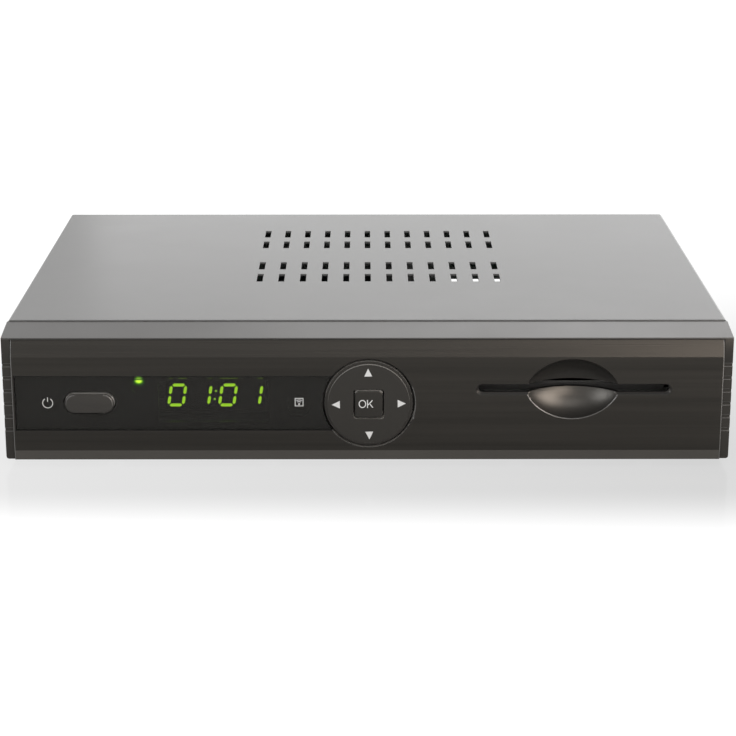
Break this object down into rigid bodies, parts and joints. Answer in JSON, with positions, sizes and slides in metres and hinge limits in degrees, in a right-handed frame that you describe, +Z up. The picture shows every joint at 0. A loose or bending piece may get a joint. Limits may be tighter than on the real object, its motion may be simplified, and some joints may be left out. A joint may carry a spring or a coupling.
{
  "type": "digital tv receiver",
  "caption": "Flat set-top TV receiver with a sloping grey bezel, brushed charcoal front, smoked display window, power key, round direction pad, card slot with thumb dish and vented sheet cover.",
  "frame": {"origin": "on the ground under the middle of the case, midway between the foremost key and the rearmost socket", "axes": "+X to the viewer's right, -Y the way the front faces, +Z up"},
  "size_m": [0.2206, 0.1726, 0.0429],
  "materials": {
    "cover_paint": "satin grey paint",
    "tray_steel": "zinc plated sheet",
    "panel_paint": "satin black paint",
    "bezel_plastic": "fine satin grey",
    "fascia_brushed": "hairline brushed charcoal",
    "window_smoke": "smoked, polished",
    "key_plastic": "satin charcoal",
    "foot_rubber": "moulded",
    "screw_steel": "zinc plated",
    "ring_plastic": "natural acetal",
    "board_green": "solder mask",
    "switch_black": "moulded",
    "plunger_white": "moulded",
    "display_black": "moulded",
    "digit_green": "lit green",
    "light_green": "lit green lens",
    "sensor_dark": "infrared filter",
    "nylon_white": "moulded nylon",
    "contact_gold": "gold flash",
    "pillar_brass": "turned",
    "chip_black": "moulded",
    "sink_black": "black anodised",
    "coil_grey": "ferrite",
    "capacitor_blue": "sleeved",
    "can_tin": "tinned sheet",
    "socket_nickel": "nickel plate",
    "socket_black": "moulded",
    "core_yellow": "moulded",
    "core_white": "moulded",
    "core_red": "moulded",
    "cable_grey": "vinyl ribbon"
  },
  "bodies": {
    "housing": {"top_cover": "cover_paint", "base_tray": "tray_steel", "rear_panel": "panel_paint", "front_bezel": "bezel_plastic", "front_fascia": "fascia_brushed", "display_window": "window_smoke", "rubber_feet": "foot_rubber", "cover_screws": "screw_steel", "bezel_screws": "screw_steel", "front_board": "board_green", "front_board_screws": "screw_steel", "push_switches": "switch_black", "pad_plungers": "plunger_white", "display_module": "display_black", "display_digits": "digit_green", "standby_light": "light_green", "light_holder": "switch_black", "infrared_receiver": "sensor_dark", "card_reader": "nylon_white", "card_contacts": "contact_gold", "card_board": "board_green", "card_pillars": "pillar_brass", "card_board_screws": "screw_steel", "main_board": "board_green", "main_board_screws": "screw_steel", "main_chip": "chip_black", "heat_sink": "sink_black", "memory_chips": "chip_black", "flash_chip": "chip_black", "inductors": "coil_grey", "capacitors": "capacitor_blue", "crystal": "can_tin", "tuner_can": "can_tin", "tuner_lid": "can_tin", "aerial_input": "socket_nickel", "aerial_output": "socket_nickel", "phono_block": "socket_black", "phono_shells": "socket_nickel", "video_insert": "core_yellow", "left_audio_insert": "core_white", "right_audio_insert": "core_red", "usb_shell": "socket_nickel", "usb_insert": "socket_black", "hdmi_shell": "socket_nickel", "hdmi_insert": "socket_black", "lan_shield": "socket_nickel", "lan_body": "socket_black", "lan_contacts": "contact_gold", "power_inlet": "socket_black", "power_inlet_pin": "socket_nickel", "cable_connectors": "nylon_white", "front_cable": "cable_grey", "card_cable": "cable_grey"},
    "power_button": {"power_button": "key_plastic"},
    "power_plunger": {"power_plunger": "plunger_white"},
    "ok_button": {"ok_button": "key_plastic"},
    "ok_plunger": {"ok_plunger": "plunger_white"},
    "pad_pivot_ring": {"pad_pivot_ring": "ring_plastic"},
    "direction_pad": {"direction_pad": "key_plastic"}
  },
  "joints": [
    {"name": "power_press", "type": "slide", "parent": "housing", "child": "power_button", "axis": [0, 1, 0], "range_m": [0, 0.0004], "stiffness_N_per_m": 300},
    {"name": "power_plunger_press", "type": "slide", "parent": "housing", "child": "power_plunger", "axis": [0, 1, 0], "range_m": [0, 0.0004]},
    {"name": "ok_press", "type": "slide", "parent": "housing", "child": "ok_button", "axis": [0, 1, 0], "range_m": [0, 0.0004], "stiffness_N_per_m": 300},
    {"name": "ok_plunger_press", "type": "slide", "parent": "housing", "child": "ok_plunger", "axis": [0, 1, 0], "range_m": [0, 0.0004]},
    {"name": "pad_tilt_up_down", "type": "hinge", "parent": "housing", "child": "pad_pivot_ring", "pos_m": [0.0004, -0.0777, 0.0205], "axis": [1, 0, 0], "range_deg": [-1.5, 1.5], "stiffness_Nm_per_rad": 0.05},
    {"name": "pad_tilt_left_right", "type": "hinge", "parent": "pad_pivot_ring", "child": "direction_pad", "pos_m": [0.0004, -0.0777, 0.0205], "axis": [0, 0, 1], "range_deg": [-1.5, 1.5], "stiffness_Nm_per_rad": 0.05}
  ],
  "couplings": [
    {"joint": "power_plunger_press", "follows": "power_press", "ratio": 1},
    {"joint": "ok_plunger_press", "follows": "ok_press", "ratio": 1}
  ]
}
